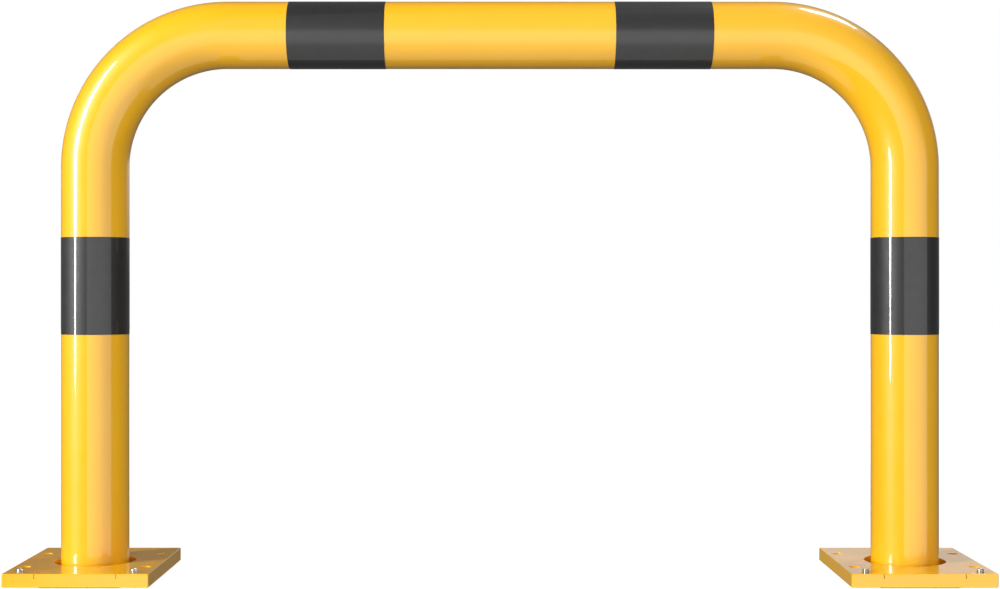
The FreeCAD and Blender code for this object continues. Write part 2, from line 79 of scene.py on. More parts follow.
def addNode(tree, kind, inputs, out=0, **settings):
    # one node with its settings and links, and the output asked for; an input is a
    # value or another node's output
    node = tree.nodes.new("ShaderNode" + kind)
    for name, value in settings.items():
        setattr(node, name, value)
    for key, value in inputs.items():
        if isinstance(value, bpy.types.NodeSocket):
            tree.links.new(value, node.inputs[key])
        else:
            node.inputs[key].default_value = value
    return node.outputs[out]


noiseLow, noiseHigh = 0.3, 0.7   # soft noise seldom leaves this range


def newMaterial(name, look, **even):
    # even values sit on the shader's own sockets; colour and dullness each follow soft
    # noise with lumps of their own size; the relief's height is left for the caller
    material = bpy.data.materials.new(name)
    material.use_nodes = True
    tree = material.node_tree
    surface = tree.nodes["Principled BSDF"].inputs
    for key, value in even.items():
        surface[key.replace("_", " ")].default_value = value
    spot = addNode(tree, "TexCoord", {}, "Object")
    patches = addNode(tree, "TexNoise", {"Vector": spot, "Scale": 1 / (look["patches"] * mm), "Detail": 3.0})
    share = addNode(tree, "MapRange", {0: patches, 1: noiseLow, 2: noiseHigh})
    first, second = [linear(colour) for colour in look["colours"]]
    colour = addNode(tree, "Mix", {0: share, 6: first, 7: second}, 2, data_type="RGBA")
    tree.links.new(colour, surface["Base Color"])
    mottle = addNode(tree, "TexNoise", {"Vector": spot, "Scale": 1 / (look["mottle"] * mm), "Detail": 2.0})
    smooth, dull = look["roughness"]
    roughness = addNode(tree, "MapRange", {0: mottle, 1: noiseLow, 2: noiseHigh, 3: smooth, 4: dull})
    tree.links.new(roughness, surface["Roughness"])
    relief = addNode(tree, "Bump", {"Strength": look["relief"], "Distance": look["deep"] * mm})
    tree.links.new(relief, surface["Normal"])
    return material, tree, spot, relief


# Polyester powder coat, sprayed and oven cured: a thick glossy skin that flows level,
# a slightly uneven film with faint orange peel.
powderCoat = {"colours": ("#F9BA00", "#F7B600"), "patches": 90.0, "mottle": 14.0, "roughness": (0.36, 0.44),
              "peel": 3.0, "relief": 0.01, "deep": 0.04}
coatYellow, tree, spot, relief = newMaterial(
    "powderCoatedPolyester", powderCoat, Specular_IOR_Level=0.5, Coat_Weight=1.0, Coat_Roughness=0.02,
    Coat_IOR=1.6)
peel = addNode(tree, "TexNoise", {"Vector": spot, "Scale": 1 / (powderCoat["peel"] * mm), "Detail": 1.0})
tree.links.new(peel, relief.node.inputs["Height"])
tree.links.new(relief, tree.nodes["Principled BSDF"].inputs["Coat Normal"])

# Cast vinyl film, laid on by hand: satin black under a clear face, with a fine grain
# that is drawn coarser than real, to show.
vinylFilm = {"colours": ("#131314", "#19191A"), "patches": 30.0, "mottle": 9.0, "roughness": (0.48, 0.56),
             "grain": 0.9, "relief": 0.06, "deep": 0.02}
vinylBlack, tree, spot, relief = newMaterial(
    "castVinylFilm", vinylFilm, Specular_IOR_Level=0.7, Coat_Weight=0.8, Coat_Roughness=0.02, Coat_IOR=1.5)
grain = addNode(tree, "TexNoise", {"Vector": spot, "Scale": 1 / (vinylFilm["grain"] * mm), "Detail": 1.0})
tree.links.new(grain, relief.node.inputs["Height"])

# Bright zinc plate on rolled screws: pale metal, a cool and a warm cast in patches, and
# a grain that is drawn coarser than real, to show.
zincPlate = {"colours": ("#D3D6DC", "#D8D4C6"), "patches": 4.0, "mottle": 1.5, "roughness": (0.3, 0.44),
             "grain": 0.5, "relief": 0.15, "deep": 0.02}
zincBright, tree, spot, relief = newMaterial("brightZincPlate", zincPlate, Metallic=1.0)
grain = addNode(tree, "TexNoise", {"Vector": spot, "Scale": 1 / (zincPlate["grain"] * mm), "Detail": 2.0})
tree.links.new(grain, relief.node.inputs["Height"])

# Plain steel turned on a lathe: grey metal with rings about the leg's axis. A wave
# repeats every 0.314 units, and its feed is coarser than real, to show.
turnedFace = {"colours": ("#A2A09C", "#8D8B88"), "patches": 12.0, "mottle": 5.0, "roughness": (0.28, 0.42),
              "feed": 0.5, "waver": 0.4, "relief": 0.2, "deep": 0.03, "waveLength": 0.314}
turnedSteel, tree, spot, relief = newMaterial("turnedSteel", turnedFace, Metallic=1.0)
spotX, spotY = addNode(tree, "SeparateXYZ", {0: spot}).node.outputs[:2]
fromMiddle = addNode(tree, "Math", {0: spotX}, operation="ABSOLUTE")
axisX = abs(middleOf("left_seat_ring").x) * mm
fromAxis = addNode(tree, "Math", {0: fromMiddle, 1: axisX}, operation="SUBTRACT")
aboutAxis = addNode(tree, "CombineXYZ", {0: fromAxis, 1: spotY})
ringScale = turnedFace["waveLength"] / (turnedFace["feed"] * mm)
turnedRings = addNode(
    tree, "TexWave", {"Vector": aboutAxis, "Scale": ringScale, "Distortion": turnedFace["waver"]}, "Fac",
    wave_type="RINGS", rings_direction="SPHERICAL")
tree.links.new(turnedRings, relief.node.inputs["Height"])

# A steel weld bead, left as welded: dark scale with straw and blue heat colours.
weldScale = {"colours": ("#7A6A58", "#4F5360"), "patches": 6.0, "mottle": 0.8, "roughness": (0.35, 0.6),
             "grain": 0.8, "relief": 0.35, "deep": 0.08}
weldSteel, tree, spot, relief = newMaterial("weldedSteel", weldScale, Metallic=1.0)
grain = addNode(tree, "TexNoise", {"Vector": spot, "Scale": 1 / (weldScale["grain"] * mm), "Detail": 4.0})
tree.links.new(grain, relief.node.inputs["Height"])

# Cast polyurethane: amber, a little clear, waxy, with cloudy streaks and pin bubbles.
castAmber = {"colours": ("#9C5A1C", "#B87425"), "patches": 11.0, "mottle": 3.0, "roughness": (0.32, 0.46),
             "bubbles": 2.2, "pit": (0.05, 0.16), "relief": 0.25, "deep": 0.12}
castPolyurethane, tree, spot, relief = newMaterial(
    "castPolyurethane", castAmber, Subsurface_Weight=0.25, Subsurface_Scale=0.004, Coat_Weight=0.2)
bubbles = addNode(tree, "TexVoronoi", {"Vector": spot, "Scale": 1 / (castAmber["bubbles"] * mm)}, "Distance")
pitCentre, pitRim = castAmber["pit"]
pits = addNode(tree, "MapRange", {0: bubbles, 1: pitCentre, 2: pitRim})
tree.links.new(pits, relief.node.inputs["Height"])
print("materials: powder coat, vinyl, zinc, turned steel, weld, polyurethane")


def rounded(corners, closed=True, steps=5):
    # a line through (across, up, rounding) corners, in which an arc that touches both
    # sides stands in for each corner that has a rounding
    points = np.array([corner[:2] for corner in corners], float)
    runs = []
    for number, (here, corner) in enumerate(zip(points, corners)):
        ends = not closed and number in (0, len(points) - 1)
        if len(corner) < 3 or corner[2] <= 0 or ends:
            runs.append(here[None])
            continue
        before = points[number - 1] - here
        after = points[(number + 1) % len(points)] - here
        before, after = before / np.linalg.norm(before), after / np.linalg.norm(after)
        half = math.acos(np.clip(before @ after, -1, 1)) / 2
        middle = (before + after) / np.linalg.norm(before + after)
        centre = here + middle * corner[2] / math.sin(half)
        start = here + before * corner[2] / math.tan(half) - centre
        end = here + after * corner[2] / math.tan(half) - centre
        turn = math.pi - 2 * half
        share = np.linspace(0, 1, steps + 1)[:, None]
        swing = np.sin((1 - share) * turn) * start + np.sin(share * turn) * end
        runs.append(centre + swing / math.sin(turn))
    return np.vstack(runs)


def evenAngles(count):
    # a full turn in equal steps: the step's number times a full turn over the count
    return np.arange(count) * 2 * math.pi / count


def hexagon(angles, flats):
    # distance from the middle to a hexagon's side: half the flats over the cosine of
    # the angle to the nearest flat
    return flats / 2 / np.cos((angles + math.pi / 6) % (math.pi / 3) - math.pi / 6)


def box(angles, halfX, halfY, corner):
    # distance from the middle to a rectangle's side, or to the arc at its corner
    ux, uy = np.abs(np.cos(angles)) + 1e-12, np.abs(np.sin(angles)) + 1e-12
    toSide, toEnd = halfX / ux, halfY / uy
    cx, cy = halfX - corner, halfY - corner
    along = ux * cx + uy * cy
    toArc = along + np.sqrt(np.maximum(along ** 2 - cx ** 2 - cy ** 2 + corner ** 2, 0))
    return np.where(toSide * uy <= cy, toSide, np.where(toEnd * ux <= cx, toEnd, toArc))


def boxAngles(halfX, halfY, corner, every=96, each=8):
    # even angles, and extra ones across each rounded corner
    low = math.atan2(halfY - corner, halfX)
    high = math.atan2(halfY, halfX - corner)
    fan = np.linspace(low, high, each)
    quarter = np.concatenate([fan, math.pi - fan, math.pi + fan, 2 * math.pi - fan])
    even = evenAngles(every)
    far = np.abs(((even[:, None] - quarter[None]) + math.pi) % (2 * math.pi) - math.pi).min(1)
    return np.sort(np.concatenate([even[far > 0.004], quarter]))


def ringGrid(radii, heights, angles):
    # a ring surface: each row is a closed outline about the upright axis, so a point is
    # (radius cos angle, radius sin angle, height); radii may change with the angle
    radii = np.broadcast_to(np.asarray(radii, float), (len(heights), len(angles)))
    heights = np.broadcast_to(np.asarray(heights, float)[:, None], radii.shape)
    return np.stack([radii * np.cos(angles), radii * np.sin(angles), heights], -1)


def lathe(profile, angles):
    # a plain turned surface: every row of the profile is a circle
    return ringGrid(profile[:, :1], profile[:, 1], angles)


mergeWithin = 2e-7   # metres: points this near to each other are one point


def meshOf(name, grids, closed=True, places=((0, 0),)):
    # grids of points become quads, repeated at each place; a closed grid's last row
    # joins its first, rows that have shrunk to a point are merged into a pole
    points, quads, start = [], [], 0
    for grid in grids:
        for x, y in places:
            rows, columns = grid.shape[:2]
            number = np.arange(rows * columns).reshape(rows, columns) + start
            if closed:
                number = np.vstack([number, number[:1]])
            number = np.hstack([number, number[:, :1]])
            cells = [number[:-1, :-1], number[:-1, 1:], number[1:, 1:], number[1:, :-1]]
            quads.append(np.stack(cells, -1).reshape(-1, 4))
            points.append(grid.reshape(-1, 3) + (x, y, 0))
            start += rows * columns
    mesh = bpy.data.meshes.new(name)
    mesh.from_pydata(np.vstack(points) * mm, [], np.vstack(quads))
    shell = bmesh.new()
    shell.from_mesh(mesh)
    bmesh.ops.remove_doubles(shell, verts=shell.verts, dist=mergeWithin)
    bmesh.ops.recalc_face_normals(shell, faces=shell.faces)
    shell.to_mesh(mesh)
    shell.free()
    return mesh


def cutFrom(mesh, cutter):
    # the mesh with the cutter's solid taken away
    body = bpy.data.objects.new("cutBody", mesh)
    tool = bpy.data.objects.new("cutTool", cutter)
    for item in (body, tool):
        bpy.context.scene.collection.objects.link(item)
    cut = body.modifiers.new("cut", "BOOLEAN")
    cut.object, cut.operation, cut.solver = tool, "DIFFERENCE", "EXACT"
    bpy.context.view_layer.update()
    result = bpy.data.meshes.new_from_object(body.evaluated_get(bpy.context.evaluated_depsgraph_get()))
    for item in (body, tool):
        bpy.data.objects.remove(item)
    return result


sharpFrom = 32.0   # degrees between two faces from which their edge is drawn sharp


def place(name, mesh, material, body, slot, *nodes, across=0.0):
    # a finished piece: its place is in its mesh, its object stays at the origin
    mesh = mesh.copy()
    mesh.name = name
    mesh.transform(Matrix.Translation((across * mm, 0, 0)))
    mesh.shade_smooth()
    mesh.set_sharp_from_angle(angle=math.radians(sharpFrom))
    mesh.materials.clear()
    mesh.materials.append(material)
    piece = bpy.data.objects.new(name, mesh)
    bpy.context.scene.collection.objects.link(piece)
    weigh = piece.modifiers.new("faceWeightedNormals", "WEIGHTED_NORMAL")
    weigh.keep_sharp = True
    if body:
        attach(piece, body)
    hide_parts(*nodes)
    return piece


tube = {
    "diameter": 76.1, "wall": 3.0, "bendRadius": 150.0,
    "rim": 0.5,            # rounding of the sawn ends under the coat
    "rimRun": 3.0,         # how far up the first rows stand above the sawn ends
    "flattening": 0.7,     # a cold bend presses its outer side in a little
    "around": 128, "perBend": 56, "perRun": 10,
}
legX = abs(middleOf("left_seat_pad").x)
tubeBottom = bottomOf("hoop_tube")
barZ = topOf("hoop_tube") - tube["diameter"] / 2
tubeRadius = tube["diameter"] / 2


def hoopPath():
    # up the left leg, round a quarter circle, along the bar, round and down the right
    # leg: each station's middle, its outward direction and how far into a bend it is
    bend, low, high = tube["bendRadius"], tubeBottom, barZ - tube["bendRadius"]
    reach = legX - bend
    up = np.linspace(low, high, tube["perRun"])[:-1]
    turn = np.linspace(0, math.pi / 2, tube["perBend"])
    bar = np.linspace(-reach, reach, tube["perRun"])[1:-1]
    left = np.stack([np.full_like(up, -legX), up], -1)
    leftBend = np.stack([-reach - bend * np.cos(turn), high + bend * np.sin(turn)], -1)
    over = np.stack([bar, np.full_like(bar, barZ)], -1)
    outUp = np.stack([-np.ones_like(up), 0 * up], -1)
    outTurn = np.stack([-np.cos(turn), np.sin(turn)], -1)
    outBar = np.stack([0 * bar, np.ones_like(bar)], -1)
    flip = np.array([-1, 1])
    middles = np.vstack([left, leftBend, over, (leftBend * flip)[::-1], (left * flip)[::-1]])
    outwards = np.vstack([outUp, outTurn, outBar, (outTurn * flip)[::-1], (outUp * flip)[::-1]])
    press = np.concatenate([0 * up, np.sin(2 * turn), 0 * bar, np.sin(2 * turn)[::-1], 0 * up])
    return middles, outwards, press


def sweptGrid(middles, outwards, radii, angles):
    # a tube round a path in the upright plane: middle + radius (cos angle outwards +
    # sin angle along the depth axis)
    side = radii * np.cos(angles)
    x = middles[:, :1] + side * outwards[:, :1]
    z = middles[:, 1:] + side * outwards[:, 1:]
    return np.stack([x, radii * np.sin(angles) + 0 * x, z], -1)


middles, outwards, press = hoopPath()
angles = evenAngles(tube["around"])
rim = tube["rim"]
boreRadius, rimTop = tubeRadius - tube["wall"], tubeBottom + tube["rimRun"]
rimProfile = rounded([(tubeRadius, rimTop), (tubeRadius, tubeBottom, rim), (boreRadius, tubeBottom, rim),
                      (boreRadius, rimTop)], closed=False)
outer = tubeRadius - tube["flattening"] * press[:, None] * np.clip(np.cos(angles), 0, 1) ** 2
inner = outer - tube["wall"]
# the two sawn ends: a row for each point of the rounded rim
endRows = rimProfile[1:-1]
leftEnd = np.stack([np.full(len(endRows), -legX), endRows[:, 1]], -1)
rightEnd = leftEnd * np.array([-1, 1])
allRound = np.ones((1, len(angles)))
sections = [
    (middles[1:-1], outwards[1:-1], outer[1:-1]),
    (rightEnd, np.tile([1.0, 0.0], (len(endRows), 1)), endRows[:, :1] * allRound),
    (middles[1:-1][::-1], outwards[1:-1][::-1], inner[1:-1][::-1]),
    (leftEnd[::-1], np.tile([-1.0, 0.0], (len(endRows), 1)), endRows[::-1, :1] * allRound),
]
tubeGrid = np.concatenate([sweptGrid(m, o, r, angles) for m, o, r in sections])
place("hoopTube", meshOf("hoopTube", [tubeGrid]), coatYellow, "hoop", "yellow_coating", "hoop_tube")
print("hoop tube: bent, with rounded sawn ends")


film = {
    "thickness": 0.25, "overlap": 9.0, "ramp": 1.2, "around": 160,
    "cutEnd": 0.15,                    # run of the step at the film's cut end
    "edge": 0.1, "edgeShare": 0.7,     # the thinned margin at both sides of a band
    "sunk": 0.05,                      # how far the film's inner face lies in the coat
}


def filmRadii(angles, seam):
    # the film's outer radius: one thickness, and two where its end laps over its start;
    # the cut end is a step and the other side is a soft ramp
    arc = ((angles - seam) % (2 * math.pi)) * tubeRadius
    lap = np.where(arc <= film["overlap"], 1.0, np.clip(1 - (arc - film["overlap"]) / film["ramp"], 0, 1))
    lap = lap * np.clip(arc / film["cutEnd"], 0, 1)
    return tubeRadius + film["thickness"] * (1 + lap * lap * (3 - 2 * lap))


def filmAngles(seam):
    # even angles, and extra ones where the lap starts, steps, ramps and ends: the seam's
    # angle and an arc over the tube's radius
    lap, ramp = film["overlap"], film["ramp"]
    extra = seam + np.array([0.0, film["cutEnd"], lap, lap + ramp / 2, lap + ramp]) / tubeRadius
    return np.sort(np.concatenate([evenAngles(film["around"]), extra % (2 * math.pi)]))


def sleeve(name, node, start, end, alongBar, seam):
    # a closed sleeve of film between two places on a straight run of the tube
    angles = filmAngles(seam)
    full = filmRadii(angles, seam)[None]
    under = np.full_like(full, tubeRadius - film["sunk"])
    edge, thin = film["edge"], film["edgeShare"]
    stops = np.array([start, start, start + edge, (start + end) / 2, end - edge, end, end])
    share = np.array([0, thin, 1, 1, 1, thin, 0])[:, None]
    radii = under + (full - under) * share
    if alongBar:
        line, out = np.stack([stops, np.full_like(stops, barZ)], -1), np.tile([0.0, 1.0], (len(stops), 1))
    else:
        line = np.stack([np.full_like(stops, middleOf(node).x), stops], -1)
        out = np.tile([1.0, 0.0], (len(stops), 1))
    grid = sweptGrid(line, out, radii, angles)
    place(name, meshOf(name, [grid]), vinylBlack, "hoop", "black_band", node)


for side in ("left", "right"):
    low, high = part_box(side + "_bar_band")
    sleeve(side + "BarBand", side + "_bar_band", low.x / mm, high.x / mm, True, math.radians(150))
    low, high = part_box(side + "_leg_band")
    sleeve(side + "LegBand", side + "_leg_band", low.z / mm, high.z / mm, False, math.radians(100))
print("bands: four lapped sleeves of film")


def holeCutter(radius, bottom, top, lowRim=0.0, highRim=0.0, past=1.0, around=40):
    # a pin that is wider by a rim's rounding where it leaves each face
    def flare(rim, face, sign):
        turn = np.linspace(0, math.pi / 2, 5)
        return np.stack([radius + rim * (1 - np.sin(turn)), face - sign * rim * (1 - np.cos(turn))], -1)

    rows = [np.array([[0, top + past], [radius + highRim, top + past]])]
    rows.append(flare(highRim, top, 1) if highRim else np.array([[radius, top]]))
    rows.append(flare(lowRim, bottom, -1)[::-1] if lowRim else np.array([[radius, bottom]]))
    rows.append(np.array([[radius + lowRim, bottom - past], [0, bottom - past]]))
    return lathe(np.vstack(rows), evenAngles(around))


def shifted(grid, x, y):
    # the same grid with its middle at another place
    return grid + np.array([x, y, 0.0])


basePlate = {
    "width": 160.0, "depth": 190.0, "thickness": 15.0, "corner": 1.5, "edge": 0.8,
    "legHole": 91.0, "legHoleRim": 0.7,
    "recess": (90.5, 152.5, 4.0, 4.25),        # across, front to back, deep, corner
    "anchorHole": 12.0, "anchorAt": (67.0, 47.0), "anchorRim": 0.6,
    "levellingHole": 8.2, "levellingAt": (62.5, -85.0), "levellingRim": 0.4,
    "tappedHole": 8.2, "tappedAt": (33.0, 65.0), "tappedDeep": 9.3,
    "mark": (1.0, 2.0, 5.5), "markAt": 44.5,   # wide, deep into the face, down from the top
    "markRounding": 0.2,
}
fourWays = ((-1, -1), (1, -1), (1, 1), (-1, 1))


def basePlateMesh():
    # rows of outlines from the leg's hole over the top, round the rounded outer edges,
    # under the plate to the recess, and up its wall and ceiling back to the hole
    b = basePlate
    low = bottomOf("left_base_plate")
    high = low + b["thickness"]
    halfX, halfY, corner = b["width"] / 2, b["depth"] / 2, b["corner"]
    angles = boxAngles(halfX, halfY, corner)
    hole = b["legHole"] / 2
    ceiling = low + b["recess"][2]
    recess = box(angles, b["recess"][0] / 2, b["recess"][1] / 2, b["recess"][3])
    rows = []
    quarter = np.linspace(0, math.pi / 2, 6)
    for turn in quarter:                       # the hole's upper rim
        rows.append((hole + b["legHoleRim"] * (1 - math.cos(turn)) + 0 * angles,
                     high - b["legHoleRim"] * (1 - math.sin(turn))))
    for flip, face in ((1, high), (-1, low)):  # the upper and then the lower outer edge
        for turn in quarter if flip > 0 else quarter[::-1]:
            inset = b["edge"] * (1 - math.sin(turn))
            outline = box(angles, halfX - inset, halfY - inset, corner - inset)
            rows.append((outline, face - flip * b["edge"] * (1 - math.cos(turn))))
    rows.append((np.maximum(recess, hole), low))
    rows.append((np.maximum(recess, hole), ceiling))
    rows.append((hole + 0 * angles, ceiling))
    radii = np.stack([row[0] for row in rows])
    plate = meshOf("basePlate", [ringGrid(radii, [row[1] for row in rows], angles)])
    cutters = []
    anchor = holeCutter(b["anchorHole"] / 2, low, high, b["anchorRim"], b["anchorRim"])
    cutters += [shifted(anchor, x * b["anchorAt"][0], y * b["anchorAt"][1]) for x, y in fourWays]
    levelling = holeCutter(b["levellingHole"] / 2, low, high, b["levellingRim"], b["levellingRim"])
    cutters += [shifted(levelling, x * b["levellingAt"][0], b["levellingAt"][1]) for x in (-1, 1)]
    tapped = holeCutter(b["tappedHole"] / 2, ceiling, ceiling + b["tappedDeep"], past=0.0)
    tapped[-2:, :, 2] -= 1.0                   # on through the recess's ceiling
    cutters += [shifted(tapped, x * b["tappedAt"][0], y * b["tappedAt"][1]) for x, y in fourWays]
    turn = boxAngles(b["mark"][0] / 2, b["mark"][1], b["markRounding"], every=24, each=4)
    outline = box(turn, b["mark"][0] / 2, b["mark"][1], b["markRounding"])
    slot = ringGrid(np.stack([0 * turn, outline, outline, 0 * turn]),
                    [high - b["mark"][2]] * 2 + [high + 1] * 2, turn)
    cutters += [shifted(slot, x * b["markAt"], -halfY) for x in (-1, 1)]
    return cutFrom(plate, meshOf("plateCutters", cutters, closed=False))


keeperPlate = {"width": 90.0, "depth": 152.0, "thickness": 8.0, "corner": 4.0, "edge": 0.5,
               "screwHole": 9.0, "screwHead": 16.0, "boltHole": 17.0, "boltHead": 30.0, "spare": 0.8}


def countersunkCutter(hole, head, spare, bottom, top):
    # a cone that is as wide as the head plus its spare at the lower face, then a plain hole
    deep = (head - hole) / 2 + spare
    profile = np.array([[0, top + 1], [hole / 2, top + 1], [hole / 2, bottom + deep],
                        [hole / 2 + deep, bottom], [hole / 2 + deep, bottom - 1], [0, bottom - 1]])
    return lathe(profile, evenAngles(48))


def blockMesh(name, halfX, halfY, corner, edge, low, high):
    # a plate with rounded corners and edges: outlines that shrink to a point at the
    # middle of each face
    angles = boxAngles(halfX, halfY, corner)
    quarter = np.linspace(0, math.pi / 2, 5)
    rows = [(0 * angles, high)]
    for flip, face in ((1, high), (-1, low)):
        for turn in quarter if flip > 0 else quarter[::-1]:
            inset = edge * (1 - math.sin(turn))
            outline = box(angles, halfX - inset, halfY - inset, corner - inset)
            rows.append((outline, face - flip * edge * (1 - math.cos(turn))))
    rows.append((0 * angles, low))
    radii = np.stack([row[0] for row in rows])
    return meshOf(name, [ringGrid(radii, [row[1] for row in rows], angles)], closed=False)


def keeperPlateMesh():
    # the block less a countersunk hole for the tie bolt and one for each keeper screw
    k = keeperPlate
    low = bottomOf("left_keeper_plate")
    high = low + k["thickness"]
    plate = blockMesh("keeperPlate", k["width"] / 2, k["depth"] / 2, k["corner"], k["edge"], low, high)
    screw = countersunkCutter(k["screwHole"], k["screwHead"], k["spare"], low, high)
    bolt = countersunkCutter(k["boltHole"], k["boltHead"], k["spare"], low, high)
    at = basePlate["tappedAt"]
    cutters = [bolt] + [shifted(screw, x * at[0], y * at[1]) for x, y in fourWays]
    return cutFrom(plate, meshOf("keeperCutters", cutters, closed=False))


screwForm = {
    "threadDepth": 0.61,                       # share of the pitch
    "socketFlats": 0.62, "socketDepth": 0.35,  # shares of the thread's diameter
    "socketMouth": 1.06, "mouthDeep": 0.3,     # the socket's bevelled mouth
    "socketPoint": 0.12,                       # the drilled point below its floor, share of its flats
    "rows": 8, "around": 48,                   # rows for each turn of the thread, points round it
}


def threadedGrid(profile, angles, threadFrom, threadTo, pitch):
    # a turned profile whose shank carries a helical ridge: the radius falls by the depth
    # of the thread times a triangle wave of (height / pitch - angle / full turn); known
    # flaw: at a tip where the fade isn't over, the last row stays a tiny open ring
    depth = screwForm["threadDepth"] * pitch
    heights = profile[:, 1][:, None]
    wave = heights / pitch - angles / (2 * math.pi)
    valley = np.abs(2 * (wave % 1) - 1)
    begin, finish = (heights - threadFrom) / pitch, (threadTo - heights) / pitch
    fade = np.clip(begin, 0, 1) * np.clip(finish, 0, 1)
    return profile[:, :1] - depth * valley * fade


def shank(radius, start, end, pitch):
    # a straight run with a few rows for each turn of the thread
    count = max(int(abs(end - start) / pitch * screwForm["rows"]), 2)
    heights = np.linspace(start, end, count)
    return np.stack([np.full(count, radius), heights], -1)


def screwMesh(name, profileDown, socket, pitch, threadFrom, threadTo, places):
    # a screw from its tip round its outside to its driving end, then down a hexagon
    # socket to the socket's floor: (flats, depth, end height, direction)
    angles = evenAngles(screwForm["around"])
    flats, depth, end, way = socket
    outside = threadedGrid(profileDown, angles, threadFrom, threadTo, pitch)
    hexed = hexagon(angles, flats)
    floor = end - way * depth
    point = floor - way * flats * screwForm["socketPoint"]
    inside = np.stack([hexed * screwForm["socketMouth"], hexed, hexed, 0 * hexed])
    radii = np.vstack([outside, inside])
    heights = np.concatenate([profileDown[:, 1], [end, end - way * screwForm["mouthDeep"], floor, point]])
    return meshOf(name, [ringGrid(radii, heights, angles)], closed=False, places=places)


def countersunkScrew(name, screw, bottom, places):
    # head down: a cone from the head to the shank, a bevelled tip on top
    diameter, pitch = screw["thread"], screw["pitch"]
    radius, headHalf = diameter / 2, screw["head"] / 2
    neck = bottom + 0.4 + (headHalf - radius)
    top = bottom + screw["length"]
    profile = np.vstack([
        [[0, top], [radius - 1.0, top], [radius - 0.85, top - 0.12]],
        shank(radius, top - 1.0, neck + 0.6, pitch),
        [[radius, neck + 0.2], [radius + 0.1, neck - 0.1], [headHalf - 0.12, bottom + 0.5],
         [headHalf, bottom + 0.35], [headHalf, bottom + 0.15], [headHalf - 0.15, bottom]],
    ])
    socket = (diameter * screwForm["socketFlats"], diameter * screwForm["socketDepth"], bottom, -1)
    return screwMesh(name, profile, socket, pitch, neck + 0.5, top + 0.2, places)


keeperScrew = {"thread": 8.0, "head": 16.0, "length": 16.0, "pitch": 1.25}
discScrew = {"thread": 5.0, "head": 10.0, "length": 16.0, "pitch": 0.8, "circle": 54.0}
levellingScrew = {"thread": 8.0, "length": 20.0, "pitch": 1.25, "socketFlats": 0.5, "socketDepth": 0.6}
tieBolt = {"thread": 16.0, "head": 30.0, "pitch": 2.0, "threaded": 40.0}


def levellingScrewMesh():
    # a headless screw: a flat bevelled point below, a socket in its upper end
    s = levellingScrew
    bottom = bottomOf("left_levelling_screws")
    top, radius = bottom + s["length"], s["thread"] / 2
    profile = np.vstack([
        [[0, bottom], [radius - 1.1, bottom], [radius - 0.95, bottom + 0.1]],
        shank(radius, bottom + 1.0, top - 0.9, s["pitch"]),
        [[radius - 0.75, top - 0.3], [radius - 1.0, top - 0.06], [radius - 1.15, top]],
    ])
    at = basePlate["levellingAt"]
    socket = (s["thread"] * s["socketFlats"], s["thread"] * s["socketDepth"], top, 1)
    return screwMesh("levellingScrews", profile, socket, s["pitch"], bottom + 0.2, top + 0.2,
                     [(-at[0], at[1]), (at[0], at[1])])


def tieBoltMesh():
    # head down, as the other countersunk screws, with a plain shank below its thread
    t = tieBolt
    bottom, top = bottomOf("left_tie_bolt"), topOf("left_tie_bolt")
    radius, headHalf = t["thread"] / 2, t["head"] / 2
    neck = bottom + 0.4 + headHalf - radius
    start = top - t["threaded"]
    profile = np.vstack([
        [[0, top], [radius - 1.3, top], [radius - 1.15, top - 0.1]],
        shank(radius, top - 1.2, start, t["pitch"]),
        [[radius, start - 1], [radius, neck + 0.6], [radius + 0.15, neck - 0.1],
         [headHalf - 0.15, bottom + 0.55], [headHalf, bottom + 0.4], [headHalf, bottom + 0.2],
         [headHalf - 0.2, bottom]],
    ])
    socket = (t["thread"] * screwForm["socketFlats"], t["thread"] * screwForm["socketDepth"], bottom, -1)
    return screwMesh("tieBolt", profile, socket, t["pitch"], start, top + 0.4, [(0, 0)])


seatPad = {"diameter": 84.0, "bore": 26.0, "rounding": 1.2, "boreRounding": 0.6, "swell": 0.5, "crown": 2.0}
endDisc = {"diameter": 69.5, "bore": 24.0, "bevel": 4.5}
seatRing = {"diameter": 70.0, "bore": 46.0, "bevel": 0.6, "tapped": 5.2}
ringWeld = {"outer": 70.1, "leg": 4.0, "ripples": 46, "ripple": 0.22, "around": 276,
            "lean": 0.9, "leans": 3.0, "crown": 0.1, "tilt": 0.7}
springBlock = {"diameter": 44.0, "bore": 17.0, "rounding": 3.0, "boreRounding": 0.8, "bulge": 1.3}
nutPlate = {"diameter": 44.0, "bore": 16.2, "rounding": 0.8, "boreRounding": 0.6}
tieNut = {"flats": 24.0, "bore": 16.2, "boreBevel": 0.8, "cone": 30.0, "coneDeep": 1.2, "coneFrom": 0.97}


def nutPlateMesh():
    # a ring with rounded edges: a rectangle with four arcs, turned about the bolt's axis
    n, low, high = nutPlate, bottomOf("left_nut_plate"), topOf("left_nut_plate")
    inner, outer, r, small = n["bore"] / 2, n["diameter"] / 2, n["rounding"], n["boreRounding"]
    profile = rounded([(inner, low, small), (outer, low, r), (outer, high, r), (inner, high, small)])
    return meshOf("nutPlate", [lathe(profile, evenAngles(96))])


def seatPadMesh():
    # the pressed pad: its outer wall swells a little at mid height
    p, low, high = seatPad, bottomOf("left_seat_pad"), topOf("left_seat_pad")
    inner, outer, r, middle = p["bore"] / 2, p["diameter"] / 2, p["rounding"], (low + high) / 2
    small, face = p["boreRounding"], outer - p["swell"]
    profile = rounded([(inner, low, small), (face, low, r), (outer, middle, p["crown"]), (face, high, r),
                       (inner, high, small)])
    return meshOf("seatPad", [lathe(profile, evenAngles(120))])


def circlePlaces(diameter):
    # four places on a circle: the radius times the cosine and the sine of each angle
    radius, turns = diameter / 2, [math.radians(degrees) for degrees in (45, 135, 225, 315)]
    return [(radius * math.cos(turn), radius * math.sin(turn)) for turn in turns]


